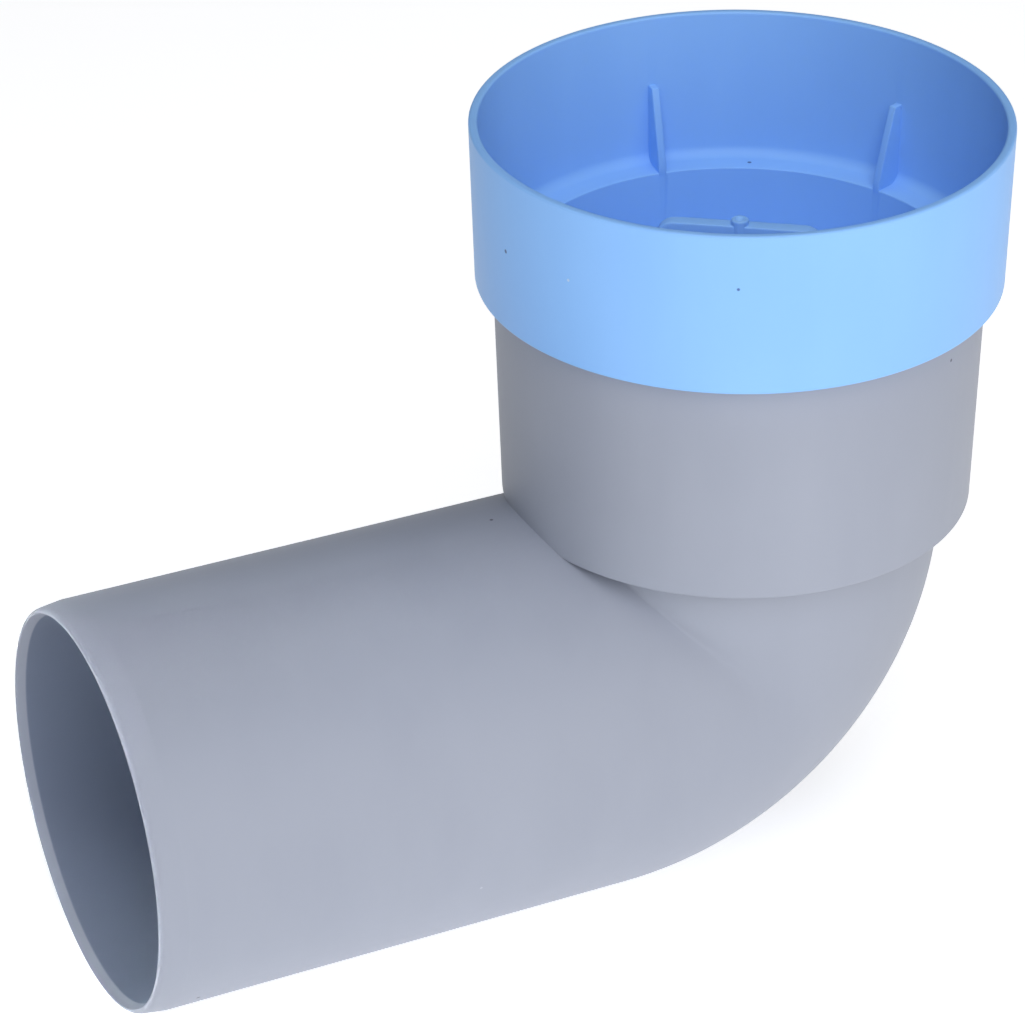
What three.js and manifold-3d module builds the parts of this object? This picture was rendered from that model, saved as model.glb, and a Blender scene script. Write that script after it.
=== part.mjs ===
// Soil-pipe elbow for a toilet connection: a 90 degree moulding with a plain spigot on one end and a
// wide socket on the other, a rubber lip seal inside the socket, and a lift-off protective lid.
// Millimetres, +Z up. The origin is the centre of the spigot's end, and the spigot's axis runs along +X
// to the point where it meets the vertical axis of the socket.
import * as THREE from "three";
import { mergeVertices } from "three/addons/utils/BufferGeometryUtils.js";
import Module from "manifold-3d";

const wasm = await Module();
wasm.setup();

// ---- driving dimensions ----
const PIPE_R = 55; // outer radius of the 110 mm pipe size
const WALL = 3.2; // pipe and socket wall
const REACH = 189.5; // from the spigot's end to the socket's axis
const HEEL_C = 49.5; // where the outer bend starts, from the crossing of the axes
const HINGE = 57; // the sections' common line, this far inside both axes
const SEGMENTS = 72; // round a full circle
const BEND_STEPS = 16; // along the bend's quarter turn, even so that one falls on the mitre
const GAP = 0.3; // running gap between separate pieces
const CUT = 10; // how far a cutting tool runs past the face that it cuts

const SPIGOT = { chamfer: 7.0, chamferDepth: 1.0, lip: 0.5, lead: 0.6, leadLength: 2.4 };
const SOCKET = { bottom: 51.9, top: 114.5, rBottom: 62.8, rTop: 64.6, edge: 0.8, mouthEdge: 0.7 };
const LEAD_IN = { width: 0.8, depth: 1.0 }; // bevel inside the socket's mouth
const BEAD = { z: 85.4, height: 1.6, depth: 0.9 }; // snap bead that keeps the seal in its seat

const LID = { bottom: 114.8, rim: 158.8, rBottom: 69.3, rRim: 70.4, wall: 2.4, ledge: 2.0, fillet: 2.0 };
const EDGE = 0.6; // bevel that stands for the lid's rounded edges
const WELL = { rOuter: 60.8, wall: 2.2, depth: 27, floor: 2.2, taper: 0.5, footEdge: 1.0 };
const RIBS = { count: 6, first: 7.0, thickness: 2.1, rise: 22.5, reach: 9.6, tip: 2.2 };
const GRIP = { length: 44, thickness: 4, corner: 5, top: 128.3, angle: 125 };
const GATE = { r: 2.35, height: 1.4, root: 3.0, dimpleR: 1.1, dimpleDepth: 1.2 };

const SEAL = { bottom: 56.3, top: 84.2, wall: 2.2, lipTop: 77, lipRoot: 5, lipR: 44, lipZ: 66, lipTip: 1.7 };

const bore = PIPE_R - WALL;
const shoulder = SEAL.bottom - GAP; // floor of the socket's chamber, round the bore
const ledgeTop = LID.bottom + LID.ledge;
const wellFloor = ledgeTop - WELL.depth;

// ---- solids ----
function solid(geometry) {
  const plain = geometry.clone();
  plain.deleteAttribute("normal");
  plain.deleteAttribute("uv");
  const merged = mergeVertices(plain, 1e-4);
  const vertProperties = new Float32Array(merged.attributes.position.array);
  const triVerts = new Uint32Array(merged.index.array);
  return new wasm.Manifold(new wasm.Mesh({ numProp: 3, vertProperties, triVerts }));
}

function mesh(name, shape, material) {
  const out = shape.getMesh();
  const geometry = new THREE.BufferGeometry();
  geometry.setAttribute("position", new THREE.BufferAttribute(out.vertProperties, 3));
  geometry.setIndex(new THREE.BufferAttribute(out.triVerts, 1));
  geometry.computeVertexNormals();
  const made = new THREE.Mesh(geometry, material);
  made.name = name;
  return made;
}

// A ring or disc about the Z axis, from points [radius, height] that run up the outside.
function turned(points) {
  const profile = points.map(([r, z]) => new THREE.Vector2(r, z));
  if (points[0][0] > 0) profile.push(profile[0].clone());
  return solid(new THREE.LatheGeometry(profile, SEGMENTS).rotateX(Math.PI / 2));
}

// A flat plate standing in the XZ plane, centred on y = 0.
function plate(points, thickness) {
  const outline = new THREE.Shape(points.map(([x, z]) => new THREE.Vector2(x, z)));
  return outlined(outline, thickness);
}

function outlined(outline, thickness) {
  const geometry = new THREE.ExtrudeGeometry(outline, { depth: thickness, bevelEnabled: false, curveSegments: 8 });
  return solid(geometry.translate(0, 0, -thickness / 2).rotateX(Math.PI / 2));
}

// ---- elbow ----
// Everything here is drawn with the crossing of the two axes at the origin, and moved at the end.
// Planes through a hinge line just outside the throat cut the bend into sections. Each section is two
// curves that meet at the flanks. The heel keeps its distance HEEL_C + depth from the bend's centre,
// and the throat is where the two straight limbs run on until they meet in a sharp mitre.
function bendSection(r, turn) {
  const offset = HINGE - HEEL_C;
  const [cos, sin] = [Math.cos(turn), Math.sin(turn)];
  const half = SEGMENTS / 2;
  const flank = Math.acos(flankDepth(Math.min(turn, Math.PI / 2 - turn)) / r);
  const section = [];
  for (let i = 0; i < SEGMENTS; i++) {
    const onHeel = i <= half;
    const angle = onHeel ? (i / half) * 2 * flank - flank : flank - ((i - half) / half) * 2 * flank;
    const depth = r * Math.cos(angle);
    const across = offset * (cos + sin);
    const arc = across + Math.sqrt(across ** 2 - 2 * offset ** 2 + (HEEL_C + depth) ** 2);
    const straight = (HINGE + depth) / Math.max(cos, sin);
    const onArc = arc * Math.min(cos, sin) > offset;
    const heel = onArc ? arc : straight;
    const far = onHeel ? heel : (HINGE - depth) / Math.max(cos, sin);
    section.push(new THREE.Vector3(far * cos - HINGE, r * Math.sin(angle), HINGE - far * sin));
  }
  return section;
}

// How deep the heel has cut into the flank of the mitred limbs, in the plane turned by this angle.
function flankDepth(turn) {
  const slope = Math.tan(turn);
  const offset = HINGE - HEEL_C;
  if (slope * HINGE <= offset) return 0;
  const root = Math.sqrt(HEEL_C - slope * (offset - HINGE * slope)) - Math.sqrt(HEEL_C);
  return (root / slope) ** 2;
}

// The whole bar, from the upright limb's top round to the level limb's end, with a flat cap on each.
function bendBar(r, top, end) {
  const sections = [bendSection(r, 0).map((p) => p.setZ(top))];
  for (let i = 0; i <= BEND_STEPS; i++) sections.push(bendSection(r, ((i / BEND_STEPS) * Math.PI) / 2));
  sections.push(bendSection(r, Math.PI / 2).map((p) => p.setX(-end)));
  const corners = [];
  const last = sections.length - 1;
  const topCentre = new THREE.Vector3(0, 0, top);
  const endCentre = new THREE.Vector3(-end, 0, 0);
  for (let i = 0; i < SEGMENTS; i++) {
    const j = (i + 1) % SEGMENTS;
    corners.push(topCentre, sections[0][i], sections[0][j]);
    corners.push(endCentre, sections[last][j], sections[last][i]);
    for (let k = 0; k < last; k++) {
      const [a, b, c, d] = [sections[k][i], sections[k + 1][i], sections[k + 1][j], sections[k][j]];
      corners.push(a, b, c, a, c, d);
    }
  }
  return solid(new THREE.BufferGeometry().setFromPoints(corners));
}

// A body of revolution about the spigot's axis, from points [radius, distance from the end].
function spigotTurned(points) {
  const profile = points.map(([r, x]) => new THREE.Vector2(r, x));
  if (points[0][0] > 0) profile.push(profile[0].clone());
  return solid(new THREE.LatheGeometry(profile, SEGMENTS).rotateZ(-Math.PI / 2).translate(-REACH, 0, 0));
}

function spigotChamfer() {
  const { chamfer, chamferDepth, lip } = SPIGOT;
  const wide = PIPE_R + CUT;
  return spigotTurned([
    [PIPE_R - chamferDepth - lip, 0],
    [PIPE_R - chamferDepth - lip, -CUT],
    [wide, -CUT],
    [wide, chamfer],
    [PIPE_R, chamfer],
    [PIPE_R - chamferDepth, lip],
  ]);
}

function spigotLead() {
  const { lead, leadLength } = SPIGOT;
  return spigotTurned([[0, -CUT], [bore + lead, -CUT], [bore + lead, 0], [bore, leadLength], [0, leadLength]]);
}

function socketWall() {
  const { bottom, top, rBottom, rTop, edge, mouthEdge } = SOCKET;
  return turned([
    [0, bottom],
    [rBottom - edge, bottom],
    [rBottom, bottom + edge],
    [rTop, top - mouthEdge],
    [rTop - mouthEdge, top],
    [0, top],
  ]);
}

const innerRadius = (z) =>
  SOCKET.rBottom - WALL + ((SOCKET.rTop - SOCKET.rBottom) * (z - SOCKET.bottom)) / (SOCKET.top - SOCKET.bottom);

function socketChamber() {
  const mouth = SOCKET.top;
  const { z, height, depth } = BEAD;
  return turned([
    [0, shoulder],
    [innerRadius(shoulder), shoulder],
    [innerRadius(z - height), z - height],
    [innerRadius(z) - depth, z],
    [innerRadius(z + height), z + height],
    [innerRadius(mouth), mouth - LEAD_IN.depth],
    [innerRadius(mouth) + LEAD_IN.width, mouth],
    [innerRadius(mouth) + LEAD_IN.width, mouth + CUT],
    [0, mouth + CUT],
  ]);
}

function elbowBody() {
  const outside = bendBar(PIPE_R, HINGE + GAP, REACH).subtract(spigotChamfer()).add(socketWall());
  return outside
    .subtract(bendBar(bore, shoulder + CUT, REACH + CUT))
    .subtract(socketChamber())
    .subtract(spigotLead())
    .translate([REACH, 0, 0]);
}

// ---- lip seal: a sleeve against the socket's wall with one long lip that leans down and in ----
function lipSeal() {
  const { bottom, top, wall, lipTop, lipRoot, lipR, lipZ, lipTip } = SEAL;
  const outer = (z) => innerRadius(z) - GAP;
  const inner = outer(bottom) - wall;
  return turned([
    [inner, bottom],
    [outer(bottom), bottom],
    [outer(BEAD.z - BEAD.height), BEAD.z - BEAD.height],
    [innerRadius(BEAD.z) - BEAD.depth - GAP, top],
    [inner, top],
    [inner, lipTop],
    [lipR, lipZ],
    [lipR + lipTip, lipZ - lipTip],
    [inner, lipTop - lipRoot],
  ]).translate([REACH, 0, 0]);
}

// ---- lid ----
function lidTray() {
  const { bottom, rim, rBottom, rRim, wall, fillet } = LID;
  const plug = WELL.rOuter;
  const foot = wellFloor - WELL.floor;
  return turned([
    [0, foot],
    [plug - WELL.taper - WELL.footEdge, foot],
    [plug - WELL.taper, foot + WELL.footEdge],
    [plug, bottom],
    [rBottom - EDGE, bottom],
    [rBottom, bottom + EDGE],
    [rRim, rim - EDGE],
    [rRim - EDGE, rim],
    [rRim - wall + EDGE, rim],
    [rRim - wall, rim - EDGE],
    [rBottom - wall, ledgeTop + fillet],
    [rBottom - wall - fillet, ledgeTop],
    [plug - WELL.wall + EDGE, ledgeTop],
    [plug - WELL.wall, ledgeTop - EDGE],
    [plug - WELL.wall - WELL.taper, wellFloor],
    [0, wellFloor],
  ]);
}

// Gusset between the ledge and the tray's wall, standing in the plane of the lid's axis.
function rib(index) {
  const { first, thickness, rise, reach, tip, count } = RIBS;
  const outside = LID.rBottom - LID.wall / 2;
  const root = ledgeTop - LID.ledge / 2;
  const gusset = plate(
    [
      [outside - reach, root],
      [outside, root],
      [outside, ledgeTop + rise],
      [outside - LID.wall / 2 - tip, ledgeTop + rise],
      [outside - reach, ledgeTop + tip],
    ],
    thickness,
  );
  return gusset.rotate([0, 0, 90 - first - (index * 360) / count]);
}

// Finger grip: an upright plate across the well with rounded top corners.
function grip() {
  const { length, thickness, corner, top, angle } = GRIP;
  const half = length / 2;
  const foot = wellFloor - WELL.floor / 2;
  const outline = new THREE.Shape();
  outline.moveTo(-half, foot);
  outline.lineTo(half, foot);
  outline.lineTo(half, top - corner);
  outline.absarc(half - corner, top - corner, corner, 0, Math.PI / 2);
  outline.lineTo(-half + corner, top);
  outline.absarc(-half + corner, top - corner, corner, Math.PI / 2, Math.PI);
  outline.closePath();
  return outlined(outline, thickness).rotate([0, 0, 90 - angle]);
}

// Round stub left on the grip where the lid was filled in its mould.
function gate() {
  const { r, height, root, dimpleR, dimpleDepth } = GATE;
  const { top } = GRIP;
  return turned([
    [0, top - root],
    [r, top - root],
    [r, top + height],
    [dimpleR, top + height],
    [0, top + height - dimpleDepth],
  ]);
}

function lid() {
  let made = lidTray().add(grip()).add(gate());
  for (let i = 0; i < RIBS.count; i++) made = made.add(rib(i));
  return made.translate([REACH, 0, 0]);
}

// ---- materials and assembly ----
const greyPvc = new THREE.MeshStandardMaterial({ color: 0x9da4ad, roughness: 0.42, metalness: 0 });
const bluePlastic = new THREE.MeshStandardMaterial({ color: 0x6fb2f2, roughness: 0.4, metalness: 0 });
const blackRubber = new THREE.MeshStandardMaterial({ color: 0x1d1e20, roughness: 0.75, metalness: 0 });

const elbow = new THREE.Group();
elbow.add(mesh("elbow_body", elbowBody(), greyPvc));
elbow.add(mesh("lip_seal", lipSeal(), blackRubber));
elbow.add(mesh("protective_lid", lid(), bluePlastic));

export default elbow;
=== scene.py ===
# %% [markdown]
# # A soil-pipe elbow with its blue protective lid
# The real object is three mouldings: a grey PVC elbow with a plain spigot and a wide socket, a
# rubber lip seal hidden in the socket, and a blue plastic lid that lifts out. Every surface is
# turned on a lathe or swept round the bend, so this lesson makes each one from its own profile in
# mesh code. The first cell loads the mechanical model as a fixed frame.

# %% Load the frame
import math

import bmesh
import bpy
import numpy as np
from mathutils import Matrix, Vector


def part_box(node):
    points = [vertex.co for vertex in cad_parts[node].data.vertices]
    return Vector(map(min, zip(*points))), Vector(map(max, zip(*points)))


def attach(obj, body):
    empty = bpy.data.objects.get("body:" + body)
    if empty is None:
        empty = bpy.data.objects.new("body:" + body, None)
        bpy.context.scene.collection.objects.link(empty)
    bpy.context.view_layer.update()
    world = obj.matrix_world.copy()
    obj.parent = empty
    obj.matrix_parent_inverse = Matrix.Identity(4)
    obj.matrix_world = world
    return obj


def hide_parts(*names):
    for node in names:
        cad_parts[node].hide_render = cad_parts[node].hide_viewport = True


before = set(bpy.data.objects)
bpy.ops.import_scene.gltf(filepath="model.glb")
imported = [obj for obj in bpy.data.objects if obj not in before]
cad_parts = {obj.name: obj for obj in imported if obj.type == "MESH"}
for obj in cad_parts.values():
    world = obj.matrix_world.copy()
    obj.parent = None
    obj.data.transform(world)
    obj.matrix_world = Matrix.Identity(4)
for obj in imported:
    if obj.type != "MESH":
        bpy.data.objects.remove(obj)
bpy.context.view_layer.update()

print("frame nodes:", sorted(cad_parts))

# %% [markdown]
# The frame's origin is the centre of the spigot's end. The socket's axis is upright, above the
# middle of the lid, so the lid's own box gives it. The other sizes of the fitting are written in
# millimetres, the unit in which a pipe maker works, and turned into metres when a mesh is made.

# %% Sizes of the fitting
MM = 0.001
lid_low, lid_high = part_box("protective_lid")
body_low, body_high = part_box("elbow_body")
seal_low, seal_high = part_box("lip_seal")
AXIS_X = (lid_low.x + lid_high.x) / 2 / MM
PIPE_R = -body_low.z / MM
WALL = 3.2
BORE_R = PIPE_R - WALL
HEEL_C = 49.5
HINGE = 57.0

SOCKET_FOOT, SOCKET_TOP = 51.9, body_high.z / MM
SOCKET_R_FOOT, SOCKET_R_TOP = 62.8, (body_high.x / MM - AXIS_X)
GAP = 0.3
SEAT = seal_low.z / MM - GAP

LID_RIM = lid_high.z / MM
LID_R_RIM = (lid_high.x - lid_low.x) / 2 / MM
LID_FOOT, LID_R_FOOT, LID_WALL = 114.8, 69.3, 2.4
LEDGE_TOP = LID_FOOT + 2.0
WELL_R, WELL_WALL, WELL_DEPTH, WELL_FLOOR = 60.8, 2.2, 27.0, 2.2
well_floor = LEDGE_TOP - WELL_DEPTH
print(f"socket axis at x {AXIS_X:.1f} mm, pipe radius {PIPE_R:.1f} mm")
print(f"lid radius {LID_R_RIM:.1f} mm")

# %% [markdown]
# ## Small tools for turned shapes
# A moulded edge is never sharp: the tool maker rounds it, and the light catches the rounding as a
# thin bright line. An outline is a list of corners, each with a rounding radius, and this helper
# swaps each corner for an arc. That is better than a bevel modifier here, as each corner keeps its
# own radius.

# %% Rounded outlines
ARC_STEPS = 6


def rounded(corners):
    """Points of a closed outline of (across, up, radius) corners, in millimetres."""
    points = []
    count = len(corners)
    for i, (x, z, radius) in enumerate(corners):
        here = np.array([x, z], float)
        if radius == 0:
            points.append(here)
            continue
        before = np.array(corners[i - 1][:2], float) - here
        after = np.array(corners[(i + 1) % count][:2], float) - here
        u, v = before / np.linalg.norm(before), after / np.linalg.norm(after)
        half_angle = math.acos(np.clip(u @ v, -1, 1)) / 2
        middle = (u + v) / np.linalg.norm(u + v)
        centre = here + middle * radius / math.sin(half_angle)
        start = here + u * radius / math.tan(half_angle)
        end = here + v * radius / math.tan(half_angle)
        a, b = start - centre, end - centre
        turn = math.atan2(a[0] * b[1] - a[1] * b[0], a @ b)
        for k in range(ARC_STEPS + 1):
            t = turn * k / ARC_STEPS
            c, s = math.cos(t), math.sin(t)
            points.append(centre + np.array([c * a[0] - s * a[1], s * a[0] + c * a[1]]))
    return points


rounded_square = rounded([(0, 0, 0), (4, 0, 1), (4, 4, 0), (0, 4, 0)])
print("a square with one rounded corner has", len(rounded_square), "points")

# %% [markdown]
# A lathe turns a closed outline about an axis. Points on the axis become one vertex with a fan of
# triangles, so the mesh stays closed, which the joining and cutting later on needs. The number of
# steps is high enough that the round silhouettes show no flats.

# %% Lathe
ROUND_STEPS = 240


def mesh_object(name, vertices, faces):
    """A new object from points in millimetres."""
    mesh = bpy.data.meshes.new(name)
    mesh.from_pydata([Vector(v) * MM for v in vertices], [], faces)
    mesh.validate()
    made = bpy.data.objects.new(name, mesh)
    bpy.context.scene.collection.objects.link(made)
    return made


def turned(name, outline, steps=ROUND_STEPS, place=None):
    """Turns (radius, height) points about Z. The outline runs up its outer side."""
    place = place or Matrix.Translation((AXIS_X, 0, 0))
    vertices, rings = [], []
    for radius, height in outline:
        if radius < 1e-6:
            rings.append([len(vertices)] * steps)
            vertices.append(place @ Vector((0, 0, height)))
            continue
        rings.append(list(range(len(vertices), len(vertices) + steps)))
        for i in range(steps):
            angle = 2 * math.pi * i / steps
            spot = Vector((radius * math.cos(angle), radius * math.sin(angle), height))
            vertices.append(place @ spot)
    faces = []
    for k, ring in enumerate(rings):
        above = rings[(k + 1) % len(rings)]
        for i in range(steps):
            j = (i + 1) % steps
            corners = list(dict.fromkeys((ring[i], ring[j], above[j], above[i])))
            if len(corners) > 2:
                faces.append(corners)
    return mesh_object(name, vertices, faces)


def combined(target, tool, operation):
    """Joins the tool to the target, or cuts it out, and deletes the tool."""
    step = target.modifiers.new(operation.lower(), "BOOLEAN")
    step.object, step.operation, step.solver = tool, operation, "MANIFOLD"
    settled(target)
    bpy.data.objects.remove(tool)
    return target


def settled(piece):
    """Replaces the piece's mesh by the result of its modifiers."""
    graph = bpy.context.evaluated_depsgraph_get()
    mesh = bpy.data.meshes.new_from_object(piece.evaluated_get(graph))
    piece.modifiers.clear()
    old, piece.data = piece.data, mesh
    bpy.data.meshes.remove(old)
    return piece


def smooth_shaded(piece, sharp_degrees=32):
    """Smooth shading, apart from edges that turn by more than this."""
    piece.data.shade_smooth()
    piece.data.set_sharp_from_angle(angle=math.radians(sharp_degrees))
    return piece


print("one ring has", ROUND_STEPS, "steps")

# %% [markdown]
# ## The bend
# On the real moulding the heel is a smooth quarter turn, but on the throat side the two straight
# limbs run into each other and meet in a mitre. The core that forms the throat leaves it nearly
# sharp in the middle and soft towards the flanks. A sweep along a curve can't do both, so the bend
# is cut into planes that turn about a hinge line just outside the throat. In each plane the heel
# and the throat are worked out from how deep a point lies in the pipe, and the two halves meet at
# the flanks.

# %% The sections of the bend
BEND_STEPS = 120
AROUND = 240
CREASE_RADIUS, FLANK_RADIUS = 0.9, 30.0
SHARP_DEPTH, SOFT_DEPTH = 41.0, 0.0
HALVINGS = 40


def crease_radius(depth):
    """Rounding of the throat: tight where the pipe is deep, wide towards its flanks."""
    t = np.clip((SHARP_DEPTH - depth) / (SHARP_DEPTH - SOFT_DEPTH), 0, 1)
    return CREASE_RADIUS + (FLANK_RADIUS - CREASE_RADIUS) * t**4


def around_corner(offset, radius, cos, sin, straight):
    """Distance from the hinge to a corner at 45 degrees, rounded about a centre this far in."""
    across = offset * (cos + sin)
    arc = across + np.sqrt(np.maximum(across**2 - 2 * offset**2 + radius**2, 0))
    on_arc = straight * min(cos, sin) > offset
    return np.where(on_arc, arc, straight)


def throat(depth, cos, sin):
    """Distance from the hinge to the inner side of the bend."""
    radius = crease_radius(depth)
    straight = (HINGE - depth) / max(cos, sin)
    return around_corner(HINGE - depth - radius, radius, cos, sin, straight)


def heel(depth, cos, sin):
    """Distance from the hinge to the outer side of the bend."""
    straight = (HINGE + depth) / max(cos, sin)
    return around_corner(HINGE - HEEL_C, HEEL_C + depth, cos, sin, straight)


def flank_depth(radius, cos, sin):
    """The depth at which heel and throat meet, found by halving."""
    low, high = 0.0, radius / 2
    for _ in range(HALVINGS):
        middle = (low + high) / 2
        if heel(middle, cos, sin) < throat(middle, cos, sin):
            low = middle
        else:
            high = middle
    return low


roundings = [round(float(crease_radius(depth)), 1) for depth in (PIPE_R, 20, 10, 0)]
print("throat rounding, middle to flank:", roundings)

# %% [markdown]
# Heel and throat meet at a shallow angle on the flanks, which the moulder blends away. A few
# rounds of averaging each point with its neighbours, strongest at the flank, give the same soft
# run. The straight limbs are rings added before and after the bend, and the spigot's rings carry
# its bevel.

# %% The bar: a bent round rod
FLANK_ROUNDS, FLANK_PULL, FLANK_SHARE = 24, 0.6, 0.2


def bend_section(radius, turn):
    """The ring of points where a plane through the hinge, turned this far, cuts the rod."""
    cos, sin = math.cos(turn), math.sin(turn)
    low = flank_depth(radius, cos, sin)
    reach = math.acos(low / radius)
    half = AROUND // 2
    angles = np.linspace(-reach, reach, half + 1)
    depth = radius * np.cos(angles)
    on_heel = [(t, y) for t, y in zip(heel(depth, cos, sin), radius * np.sin(angles))]
    back = angles[1:-1][::-1]
    depth = radius * np.cos(back)
    on_throat = [(t, y) for t, y in zip(throat(depth, cos, sin), radius * np.sin(back))]
    ring = np.array(on_heel + on_throat)
    ring = soften(ring, flank_weight(half) * math.sin(2 * turn) ** 0.5)
    return [(t * cos - HINGE, y, HINGE - t * sin) for t, y in ring]


def flank_weight(half):
    """1 at the two points where heel and throat meet, falling to 0 either side."""
    steps = np.arange(2 * half)
    gap = np.minimum(np.minimum(steps, np.abs(steps - 2 * half)), np.abs(steps - half))
    return np.clip(1 - gap / (FLANK_SHARE * half), 0, 1)


def soften(ring, weight):
    """Averages each point with its neighbours, as far as its weight allows."""
    for _ in range(FLANK_ROUNDS):
        mean = (np.roll(ring, 1, axis=0) + np.roll(ring, -1, axis=0)) / 2
        ring = ring + (mean - ring) * FLANK_PULL * weight[:, None]
    return ring


def bar(name, radius, top, end_rings):
    """A closed bent rod from the upright limb's top to the last of the (radius, x) end rings."""
    rings = [[(x, y, top) for x, y, _ in bend_section(radius, 0)]]
    rings += [bend_section(radius, math.pi / 2 * i / BEND_STEPS) for i in range(BEND_STEPS + 1)]
    level = [(y / radius, z / radius) for _, y, z in rings[-1]]
    rings += [[(x - AXIS_X, r * y, r * z) for y, z in level] for r, x in end_rings]
    vertices = [(x + AXIS_X, y, z) for ring in rings for x, y, z in ring]
    count = len(rings)
    last = tuple(range((count - 1) * AROUND, count * AROUND))
    faces = [tuple(range(AROUND)), last[::-1]]
    for k in range(count - 1):
        for i in range(AROUND):
            j = (i + 1) % AROUND
            a, b = k * AROUND, (k + 1) * AROUND
            faces.append((a + i, b + i, b + j, a + j))
    return mesh_object(name, vertices, faces)


def volume_litres(piece):
    """The volume that the piece's surface closes."""
    work = bmesh.new()
    work.from_mesh(piece.data)
    litres = work.calc_volume(signed=True) * 1000
    work.free()
    return litres


print("bend sections:", BEND_STEPS + 1, "with", AROUND, "points each")

# %% [markdown]
# The elbow is now put together the way a mould makes it: the outside is the bent bar with its
# bevelled spigot, joined to the wide socket, and the core is the same bar made thinner, together
# with the chamber that holds the seal. The spigot's lip is rounded inside and out.

# %% Elbow: outside
SPIGOT_LIP = [
    (PIPE_R, 40.0),
    (PIPE_R, 7.6),
    (54.97, 7.1),
    (54.88, 6.4),
    (54.25, 1.6),
    (54.0, 0.8),
    (53.6, 0.25),
    (53.1, 0.0),
    (52.6, 0.0),
]

OVERLAP = 1.2
elbow_shell = bar("elbow_shell", PIPE_R, SEAT + 4, SPIGOT_LIP)
print(f"outer bar: {volume_litres(elbow_shell):.3f} litres")
socket_outline = rounded([
    (0, SOCKET_FOOT - OVERLAP, 0),
    (PIPE_R, SOCKET_FOOT - OVERLAP, 0),
    (PIPE_R + 0.05, SOCKET_FOOT, 0.8),
    (SOCKET_R_FOOT, SOCKET_FOOT, 0.55),
    (SOCKET_R_TOP, SOCKET_TOP, 0.8),
    (0, SOCKET_TOP, 0),
])
combined(elbow_shell, turned("socket_outside", socket_outline), "UNION")
print(f"with the socket: {volume_litres(elbow_shell):.3f} litres")

# %% [markdown]
# The core leaves a small bevel inside the spigot's mouth. In the socket it leaves a tapered
# chamber, a low bead that keeps the seal in its seat, and a lead-in at the top that guides a pipe.

# %% Elbow: core
BEAD_Z, BEAD_HEIGHT, BEAD_DEPTH = 85.4, 1.6, 0.9
LEAD_IN_WIDTH, LEAD_IN_DEPTH = 0.8, 1.0


def socket_inside(z):
    """Radius of the chamber's tapered wall at a height."""
    share = (z - SOCKET_FOOT) / (SOCKET_TOP - SOCKET_FOOT)
    return SOCKET_R_FOOT - WALL + (SOCKET_R_TOP - SOCKET_R_FOOT) * share


CORE_LIP = [
    (BORE_R, 40.0),
    (BORE_R, 2.9),
    (51.86, 2.6),
    (52.5, 0.8),
    (52.7, 0.2),
    (52.9, -0.1),
    (54.5, -6.0),
]
combined(elbow_shell, bar("core", BORE_R, SEAT + 8, CORE_LIP), "DIFFERENCE")
chamber_outline = rounded([
    (0, SEAT, 0),
    (socket_inside(SEAT), SEAT, 0.8),
    (socket_inside(BEAD_Z), BEAD_Z - BEAD_HEIGHT, 0.5),
    (socket_inside(BEAD_Z) - BEAD_DEPTH, BEAD_Z, 0.4),
    (socket_inside(BEAD_Z), BEAD_Z + BEAD_HEIGHT, 0.5),
    (socket_inside(SOCKET_TOP), SOCKET_TOP - LEAD_IN_DEPTH, 0.4),
    (socket_inside(SOCKET_TOP) + LEAD_IN_WIDTH, SOCKET_TOP, 0.2),
    (socket_inside(SOCKET_TOP) + LEAD_IN_WIDTH, SOCKET_TOP + 8, 0),
    (0, SOCKET_TOP + 8, 0),
])
combined(elbow_shell, turned("chamber", chamber_outline), "DIFFERENCE")
smooth_shaded(elbow_shell)
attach(elbow_shell, "elbow")
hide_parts("elbow_body")
print(f"elbow: {volume_litres(elbow_shell):.3f} litres, {len(elbow_shell.data.polygons)} faces")

# %% [markdown]
# ## The lid
# The lid is a shallow tray with a plug below it. Its turned part comes first, as one outline that
# runs from the plug's foot up the outside, over the rim and down the inside to the floor of the
# well. Six gussets brace the tray, and an upright plate in the well is what the fingers take hold
# of.

# %% Lid: turned tray and plug
well_r = WELL_R - WELL_WALL
tray_outline = rounded([
    (0, well_floor - WELL_FLOOR, 0),
    (WELL_R - 0.5, well_floor - WELL_FLOOR, 1.4),
    (WELL_R, LID_FOOT, 0.3),
    (LID_R_FOOT, LID_FOOT, 0.7),
    (LID_R_RIM, LID_RIM, 0.75),
    (LID_R_RIM - LID_WALL, LID_RIM, 0.75),
    (LID_R_FOOT - LID_WALL, LEDGE_TOP, 3.2),
    (well_r, LEDGE_TOP, 0.4),
    (well_r - 0.5, well_floor, 1.6),
    (0, well_floor, 0),
])
lid_shell = turned("lid_shell", tray_outline)
print(f"lid tray: {volume_litres(lid_shell):.3f} litres, {len(tray_outline)} points in its outline")

# %% Lid: gussets, grip and gate stub
RIB_COUNT, RIB_FIRST, RIB_THICKNESS = 6, 7.0, 2.1
RIB_RISE, RIB_REACH, RIB_TIP, RIB_EDGE = 22.5, 9.6, 2.2, 0.3
GRIP_LENGTH, GRIP_THICKNESS, GRIP_TOP, GRIP_ANGLE = 44.0, 4.0, 128.3, 125.0
GRIP_CORNER, GRIP_EDGE = 5, 0.5
GATE_R, GATE_HEIGHT, GATE_STEPS = 2.35, 1.4, 40


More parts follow.
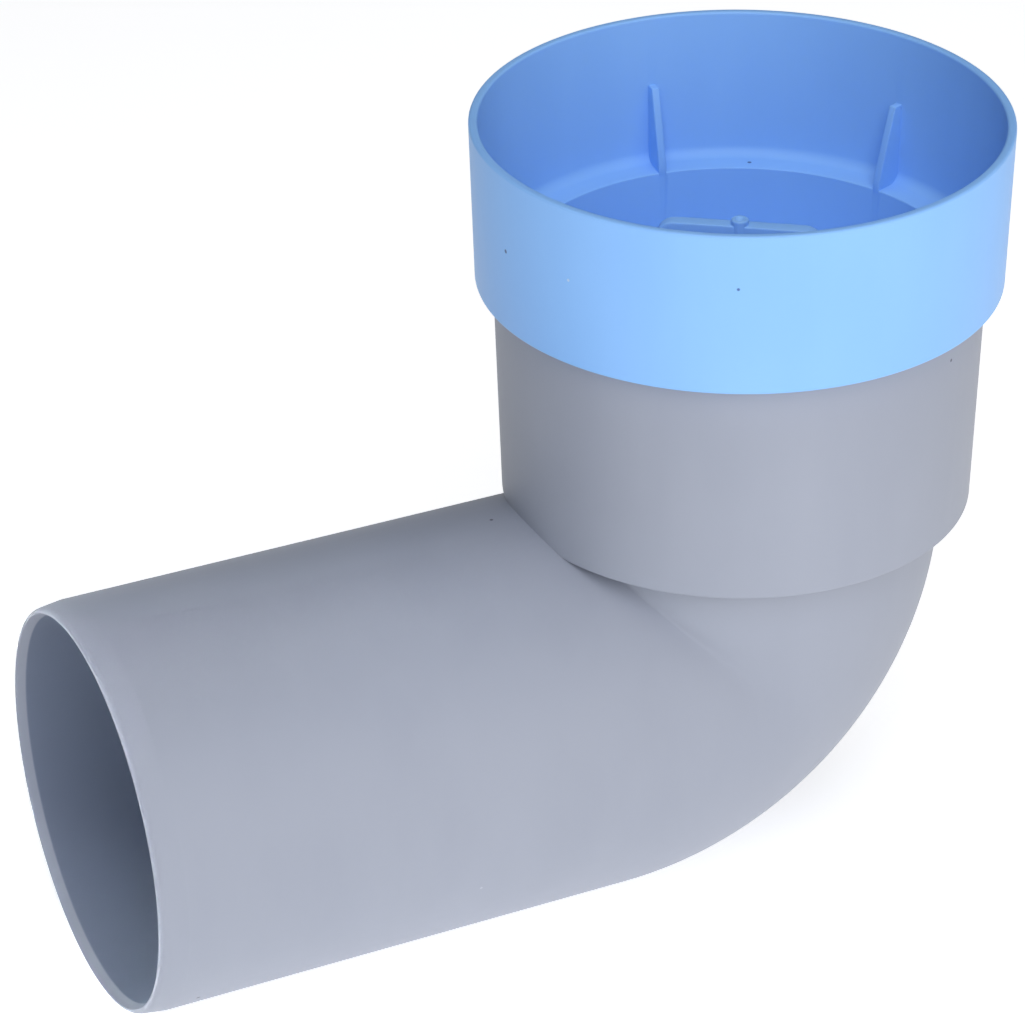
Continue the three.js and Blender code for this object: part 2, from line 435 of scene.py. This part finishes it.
def upright_plate(name, outline, thickness, bearing, edge):
    """A plate in an upright plane through the lid's axis, at a bearing from +Y, with soft edges."""
    turn = Matrix.Rotation(math.radians(90 - bearing), 4, "Z")
    turn = Matrix.Translation((AXIS_X, 0, 0)) @ turn
    half = thickness / 2
    count = len(outline)
    vertices = [turn @ Vector((x, y, z)) for y in (-half, half) for x, z in outline]
    faces = [tuple(range(count)), tuple(range(2 * count - 1, count - 1, -1))]
    for i in range(count):
        j = (i + 1) % count
        faces.append((i, i + count, j + count, j))
    plate = mesh_object(name, vertices, faces)
    bevel = plate.modifiers.new("edge", "BEVEL")
    bevel.width, bevel.segments, bevel.angle_limit = edge * MM, 3, math.radians(50)
    return settled(plate)


rib_root = LID_R_FOOT - LID_WALL / 2
for i in range(RIB_COUNT):
    rib_outline = [
        (rib_root - RIB_REACH, LEDGE_TOP - 1),
        (rib_root, LEDGE_TOP - 1),
        (rib_root + 0.4, LEDGE_TOP + RIB_RISE),
        (rib_root - LID_WALL / 2 - RIB_TIP, LEDGE_TOP + RIB_RISE),
        (rib_root - RIB_REACH, LEDGE_TOP + RIB_TIP),
    ]
    bearing = RIB_FIRST + i * 360 / RIB_COUNT
    rib = upright_plate("rib", rib_outline, RIB_THICKNESS, bearing, RIB_EDGE)
    combined(lid_shell, rib, "UNION")

grip_half = GRIP_LENGTH / 2
grip_outline = rounded([
    (-grip_half, well_floor - 1, 0),
    (grip_half, well_floor - 1, 0),
    (grip_half, GRIP_TOP, GRIP_CORNER),
    (-grip_half, GRIP_TOP, GRIP_CORNER),
])
grip = upright_plate("grip", grip_outline, GRIP_THICKNESS, GRIP_ANGLE, GRIP_EDGE)
combined(lid_shell, grip, "UNION")
gate_outline = rounded([
    (0, GRIP_TOP - 3, 0),
    (GATE_R, GRIP_TOP - 3, 0),
    (GATE_R, GRIP_TOP + GATE_HEIGHT, 0.5),
    (GATE_R - 1.0, GRIP_TOP + GATE_HEIGHT, 0.3),
    (0, GRIP_TOP + 0.2, 0),
])
combined(lid_shell, turned("gate", gate_outline, steps=GATE_STEPS), "UNION")
smooth_shaded(lid_shell)
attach(lid_shell, "lid")
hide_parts("protective_lid")
print(f"lid: {volume_litres(lid_shell):.3f} litres, {len(lid_shell.data.polygons)} faces")

# %% [markdown]
# ## The lip seal
# The seal can only be seen when the lid is lifted: a soft rubber sleeve against the socket's wall,
# with a long lip that leans down and in. It is turned like the rest.

# %% Seal
SEAL_FOOT, SEAL_TOP = seal_low.z / MM, seal_high.z / MM
SLEEVE = 2.2
sleeve_in = socket_inside(SEAL_FOOT) - GAP - SLEEVE
seal_outline = rounded([
    (sleeve_in, SEAL_FOOT, 0.4),
    (socket_inside(SEAL_FOOT) - GAP, SEAL_FOOT, 0.6),
    (socket_inside(SEAL_TOP) - GAP, BEAD_Z - BEAD_HEIGHT - GAP, 0.4),
    (socket_inside(SEAL_TOP) - 1.2, SEAL_TOP, 0.4),
    (sleeve_in, SEAL_TOP, 0.5),
    (sleeve_in, 77.0, 1.5),
    (44.0, 66.0, 0.5),
    (45.7, 64.3, 0.5),
    (sleeve_in, 72.0, 1.5),
])
seal_ring = turned("seal_ring", seal_outline)
smooth_shaded(seal_ring)
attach(seal_ring, "elbow")
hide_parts("lip_seal")
print(f"seal: {volume_litres(seal_ring):.3f} litres")

# %% [markdown]
# ## Finishes
# A material is a graph of nodes. To keep its maths readable, this class wraps a node's output
# socket and lets Python's own operators add the Math nodes, so that `1 - mask` is a subtraction
# node. Every other node comes from one method, which takes its type, its settings and what its
# inputs are joined to.

# %% A finish written as expressions
MIX_FIRST, MIX_SECOND, MIX_COLOUR = 6, 7, 2  # the Mix node's colour sockets, by position


class Link:
    """A node's output, used in sums and products. link[name] is another output of its node."""

    def __init__(self, finish, socket):
        self.finish = finish
        self.socket = socket

    def __getitem__(self, output):
        return Link(self.finish, self.socket.node.outputs[output])

    def _math(self, operation, first, second):
        return self.finish.node("Math", {"operation": operation}, {0: first, 1: second})

    def __add__(self, other):
        return self._math("ADD", self, other)

    __radd__ = __add__

    def __sub__(self, other):
        return self._math("SUBTRACT", self, other)

    def __rsub__(self, other):
        return self._math("SUBTRACT", other, self)

    def __mul__(self, other):
        return self._math("MULTIPLY", self, other)

    __rmul__ = __mul__


class Finish:
    """A material's node graph, with its shader."""

    def __init__(self, name):
        self.material = bpy.data.materials.new(name)
        self.material.use_nodes = True
        self.tree = self.material.node_tree
        self.shader = self.tree.nodes["Principled BSDF"]

    def node(self, kind, settings=None, inputs=None, output=0):
        made = self.tree.nodes.new("ShaderNode" + kind)
        for key, value in (settings or {}).items():
            setattr(made, key, value)
        for key, value in (inputs or {}).items():
            self.join(made.inputs[key], value)
        return Link(self, made.outputs[output])

    def join(self, socket, value):
        if isinstance(value, Link):
            self.tree.links.new(value.socket, socket)
        else:
            socket.default_value = value

    def set(self, **values):
        for key, value in values.items():
            self.join(self.shader.inputs[key.replace("_", " ")], value)

    def place(self):
        return self.node("TexCoord", output="Object")

    def noise(self, place, scale, detail=3.0, roughness=0.5):
        inputs = {"Vector": place, "Scale": scale, "Detail": detail, "Roughness": roughness}
        return self.node("TexNoise", {}, inputs)

    def stretched(self, place, x, y, z):
        return self.node("VectorMath", {"operation": "MULTIPLY"}, {0: place, 1: (x, y, z)})

    def between(self, value, low, high):
        inputs = {"Value": value, "From Min": low, "From Max": high}
        return self.node("MapRange", {"interpolation_type": "SMOOTHSTEP"}, inputs)

    def mixed(self, factor, first, second):
        colours = {0: factor, MIX_FIRST: first, MIX_SECOND: second}
        return self.node("Mix", {"data_type": "RGBA"}, colours, output=MIX_COLOUR)

    def bump(self, height, distance, strength=1.0, normal=None):
        inputs = {"Height": height, "Distance": distance, "Strength": strength}
        if normal is not None:
            inputs["Normal"] = normal
        return self.node("Bump", {}, inputs, output="Normal")


print("a finish starts with its shader only")

# %% [markdown]
# Moulded PVC is satin: a fine even grain in the tool's steel breaks up the reflections, the
# pigment is a little uneven, and a few dark specks of burnt material and light dust sit in and on
# the surface. Cells of a Voronoi texture give the specks: a cell's centre is a dot, and its colour
# picks a few.

# %% Specks
PICK_EDGE, DOT_EDGE = 0.01, 1.6


def specks(finish, place, spacing, size, share):
    """1 inside rare small round specks, 0 elsewhere."""
    inputs = {"Vector": place, "Scale": 1 / spacing}
    cells = finish.node("TexVoronoi", {}, inputs, output="Distance")
    pick = finish.node("SeparateColor", {}, {0: cells["Color"]})
    chosen = finish.between(pick, share, share - PICK_EDGE)
    return (1 - finish.between(cells, size / spacing, DOT_EDGE * size / spacing)) * chosen


print("a speck fades out over", round(DOT_EDGE - 1, 1), "of its own radius")

# %% [markdown]
# The bore is the same plastic, but it is given a darker tint. That stands in for the deep shade in
# the pipe, which this open floor and these soft lights fill too much. The mask finds the bore by
# its distance from the spigot's axis, and stops short of the bevelled lip.

# %% Mask of the bore's painted shade
BORE_MARGIN, BORE_EDGE = 0.3, 0.7
LIP_END, LIP_EDGE = 0.0023, 0.0029
TINT_FADE, TINT_END = 0.115, 0.130


def bore_shade_mask(finish):
    """1 where the bore's painted shade goes: on the spigot's bore; 0 on its lip and outside, fading
    out before the bend.
    """
    place = finish.place()
    across = finish.stretched(place, 0, 1, 1)
    from_axis = finish.node("VectorMath", {"operation": "LENGTH"}, {0: across}, output="Value")
    along = finish.node("SeparateXYZ", {}, {0: place}, output="X")
    near_wall = finish.between(from_axis, (BORE_R + BORE_EDGE) * MM, (BORE_R + BORE_MARGIN) * MM)
    behind_lip = finish.between(along, LIP_END, LIP_EDGE)
    return near_wall * behind_lip * finish.between(along, TINT_END, TINT_FADE)


print(f"the tint covers radii below {BORE_R + BORE_EDGE:.1f} mm")

# %% [markdown]
# Both plastics come from one recipe, so that they look as if they came from the same workshop:
# cloudy pigment, specks, dust, a fine grain in the bump, and a roughness that varies a little.

# %% Moulded plastic
SATIN_GLOSS, PLASTIC_IOR = 0.2, 1.52
DOT_SPACING, DOT_SIZE, DOT_SHARE, DOT_DEPTH = 0.013, 0.00042, 0.25, 0.8
DUST_SPACING, DUST_SIZE, DUST_SHARE, DUST_DEPTH = 0.0125, 0.0003, 0.14, 0.5
DUST_COLOUR = (0.75, 0.78, 0.8, 1)
CLOUD_SCALE, FLOW_SCALE, GRAIN_SCALE = 14.0, 60.0, 2600.0


def moulded(name, colour, deep, speck_colour, roughness, bore_shade_colour=None):
    """A satin moulded plastic, with painted shade in the bore if it is given a colour for that
    shade.
    """
    finish = Finish(name)
    place = finish.place()
    cloud = finish.noise(place, CLOUD_SCALE, detail=2.0)
    flow = finish.noise(finish.stretched(place, 1.0, 1.0, 0.25), FLOW_SCALE, detail=4.0)
    blotch = finish.between(cloud * 0.6 + flow * 0.4, 0.35, 0.65)
    tint = finish.mixed(blotch, deep, colour)
    # Painted shade: the bore is darkened where the mask is 1, standing in for the little light deep
    # in the pipe.
    if bore_shade_colour:
        tint = finish.mixed(bore_shade_mask(finish), tint, bore_shade_colour)
    dots = specks(finish, place, DOT_SPACING, DOT_SIZE, DOT_SHARE)
    tint = finish.mixed(dots * DOT_DEPTH, tint, speck_colour)
    dust = specks(finish, place, DUST_SPACING, DUST_SIZE, DUST_SHARE)
    tint = finish.mixed(dust * DUST_DEPTH, tint, DUST_COLOUR)
    grain = finish.noise(place, GRAIN_SCALE, detail=2.0)
    streaks = finish.stretched(place, 40.0, 420.0, 60.0)
    hair = finish.noise(streaks, 1.0, detail=5.0, roughness=0.7)
    normal = finish.bump(flow, 0.00012, 0.35)
    normal = finish.bump(grain, 0.00002, 0.25, normal)
    worn = roughness + blotch * 0.05 + (hair - 0.5) * 0.12
    finish.set(Base_Color=tint, Roughness=worn, Normal=normal)
    finish.set(IOR=PLASTIC_IOR, Specular_IOR_Level=SATIN_GLOSS)
    return finish


def paint(piece, finish):
    piece.data.materials.clear()
    piece.data.materials.append(finish.material)


GREY, DEEP_GREY = (0.352, 0.376, 0.440, 1), (0.332, 0.356, 0.420, 1)
# The bore colour on the next line is painted shade, a stand-in for the little light deep in the
# pipe, not a colour of the PVC.
GREY_SPECK, BORE_PAINTED_SHADE = (0.05, 0.05, 0.06, 1), (0.200, 0.235, 0.310, 1)
BLUE, DEEP_BLUE = (0.280, 0.540, 0.955, 1), (0.262, 0.515, 0.935, 1)
BLUE_SPECK = (0.03, 0.05, 0.2, 1)
grey_pvc = moulded("grey_pvc_satin", GREY, DEEP_GREY, GREY_SPECK, 0.46, BORE_PAINTED_SHADE)
blue_plastic = moulded("blue_lid_satin", BLUE, DEEP_BLUE, BLUE_SPECK, 0.42)
paint(elbow_shell, grey_pvc)
paint(lid_shell, blue_plastic)
print("finishes:", [m.name for m in bpy.data.materials])

# %% [markdown]
# Rubber is darker and rougher than the plastics, with a faint grain and no gloss.

# %% Rubber
rubber = Finish("seal_black_rubber")
rubber_place = rubber.place()
rubber_grain = rubber.noise(rubber_place, 1500.0, detail=3.0)
rubber_cloud = rubber.noise(rubber_place, 40.0)
BLACK, WORN_BLACK = (0.012, 0.012, 0.013, 1), (0.03, 0.03, 0.032, 1)
rubber_tint = rubber.mixed(rubber_cloud, BLACK, WORN_BLACK)
rubber.set(Base_Color=rubber_tint, Roughness=0.62 + rubber_grain * 0.2)
rubber.set(Normal=rubber.bump(rubber_grain, 0.00004, 0.5))
paint(seal_ring, rubber)
node_finish = {"elbow_body": grey_pvc, "lip_seal": rubber, "protective_lid": blue_plastic}
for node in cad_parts.values():
    paint(node, node_finish[node.name])
print("rubber on", seal_ring.name)

# %% [markdown]
# ## Floor, light and camera
# The floor is a plain white sweep, large enough that no edge shows. It glows a little, so that it
# stays near white and lights the fitting from below.

# %% Floor
FLOOR_Z = body_low.z
REACH = 6000
GLOW = 0.6
floor_corners = [(-REACH, -REACH, 0), (REACH, -REACH, 0), (REACH, REACH, 0), (-REACH, REACH, 0)]
sweep = mesh_object("floor_sweep", floor_corners, [(0, 1, 2, 3)])
sweep.location.z = FLOOR_Z
floor_finish = Finish("floor_white")
floor_finish.set(Base_Color=(0.9, 0.9, 0.9, 1), Roughness=0.9)
floor_finish.set(Emission_Color=(1, 1, 1, 1), Emission_Strength=GLOW)
paint(sweep, floor_finish)
print(f"floor at z {FLOOR_Z:.3f} m")

# %% [markdown]
# Grey plastic shows its shape only by how the light falls off over its curves, so the soft boxes
# do the work: two in front at different heights, a weaker one at the spigot's side, and one
# overhead that reaches into the lid. A narrow one picks out the spigot's end face and leaves the
# bore dark. Each is placed by its direction round the fitting.

# %% Light
LIGHT_DISTANCE = 1.8
object_middle = Vector((AXIS_X * MM * 0.69, 0, 0.05))


def direction(azimuth, elevation):
    """The direction to a place round the fitting, in degrees from the front and up."""
    az, el = math.radians(azimuth), math.radians(elevation)
    return Vector((math.sin(az) * math.cos(el), -math.cos(az) * math.cos(el), math.sin(el)))


def soft_box(name, azimuth, elevation, size, power, tint=(1, 1, 1),
             aim=object_middle, distance=LIGHT_DISTANCE):
    """A square soft box that faces a point from a direction, in degrees from the front."""
    back = direction(azimuth, elevation)
    light = bpy.data.lights.new(name, "AREA")
    light.shape, light.size = "SQUARE", size
    light.energy, light.color = power, tint
    lamp = bpy.data.objects.new(name, light)
    lamp.location = aim + back * distance
    lamp.rotation_euler = back.to_track_quat("Z", "Y").to_euler()
    bpy.context.scene.collection.objects.link(lamp)
    return light


soft_box("low_front_box", 15, 8, 1.5, 14.6, (1.03, 1.0, 0.98))
soft_box("high_front_box", -20, 45, 1.1, 13.5, (0.94, 0.98, 1.08))
soft_box("left_box", -62, 18, 0.9, 2.6, (0.9, 0.97, 1.05))
soft_box("top_box", 0, 89, 1.4, 11.5)
MOUTH_DISTANCE, MOUTH_SPREAD = 0.6, 13
spigot_mouth = Vector((0, 0, 0))
mouth_tint = (0.95, 1.0, 1.02)
mouth_box = soft_box("mouth_box", -110, 17, 0.08, 0.05, mouth_tint, spigot_mouth, MOUTH_DISTANCE)
mouth_box.spread = math.radians(MOUTH_SPREAD)
world = bpy.data.worlds.new("studio_dark")
world.use_nodes = True
sky = world.node_tree.nodes["Background"]
sky.inputs["Color"].default_value = (0.93, 0.96, 1, 1)
sky.inputs["Strength"].default_value = 0.02
bpy.context.scene.world = world
bpy.context.scene.view_settings.view_transform = "Standard"

# %% [markdown]
# The camera stands in front, to the left and above, far enough off that the upright edges hardly
# lean.

# %% Camera
VIEW_AZIMUTH, VIEW_ELEVATION, VIEW_ROLL = -24.88, 29.86, -0.65
VIEW_DISTANCE = 1.1556
VIEW_AIM = Vector((AXIS_X * MM - 0.0480, 0.0393, 0.0334))
LENS, SENSOR_WIDTH = 147.6, 36


def camera_at(azimuth, elevation, roll, distance, aim, lens):
    """A camera that looks at a point from a direction, tilted by its roll."""
    back = direction(azimuth, elevation)
    camera = bpy.data.objects.new("camera", bpy.data.cameras.new("camera"))
    camera.data.lens, camera.data.sensor_width = lens, SENSOR_WIDTH
    facing = (-back).to_track_quat("-Z", "Y").to_matrix().to_4x4()
    tilt = Matrix.Rotation(math.radians(roll), 4, "Z")
    camera.matrix_world = Matrix.Translation(aim + back * distance) @ facing @ tilt
    bpy.context.scene.collection.objects.link(camera)
    return camera


bpy.context.scene.camera = camera_at(
    VIEW_AZIMUTH, VIEW_ELEVATION, VIEW_ROLL, VIEW_DISTANCE, VIEW_AIM, LENS
)
print("camera at", [round(c, 3) for c in bpy.context.scene.camera.location])

# %% [markdown]
# The last cell updates the scene.

# %% Finish
bpy.context.view_layer.update()
